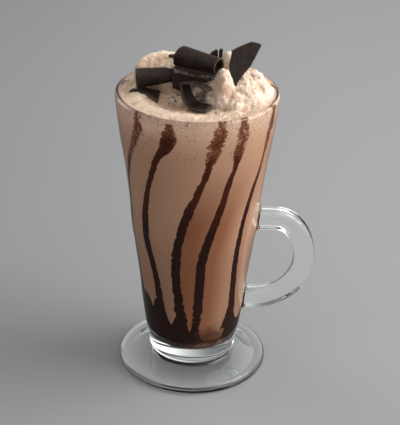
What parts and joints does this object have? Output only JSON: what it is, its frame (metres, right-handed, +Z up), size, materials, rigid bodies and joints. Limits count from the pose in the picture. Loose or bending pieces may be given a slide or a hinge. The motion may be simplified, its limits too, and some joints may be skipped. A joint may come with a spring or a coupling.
{
  "type": "chocolate milkshake",
  "caption": "Chocolate milkshake in a footed glass mug with a side handle, syrup in the bottom, frothed cream heaped over the rim and rolled chocolate shavings on top.",
  "frame": {"origin": "centre of the foot's underside, on the bowl's axis", "axes": "+Z up along the bowl's axis, +X towards the handle, +Y away from the side the drink is seen from"},
  "size_m": [0.1016, 0.08, 0.1778],
  "materials": {
    "glass": "clear pressed glass, smooth",
    "syrup": "dark chocolate syrup, wet gloss",
    "milkshake": "blended chocolate milk, opaque, smooth",
    "froth": "frothed cream, soft and matt",
    "chocolate": "dark chocolate, shaved, dull satin"
  },
  "bodies": {
    "root": {"glass": "glass", "syrup": "syrup", "milkshake": "milkshake", "froth": "froth", "curl_centre": "chocolate", "curl_left": "chocolate", "curl_front": "chocolate", "shard": "chocolate", "flake_left": "chocolate", "flake_under": "chocolate", "flake_back": "chocolate", "flake_upright": "chocolate", "sliver": "chocolate"}
  },
  "joints": []
}
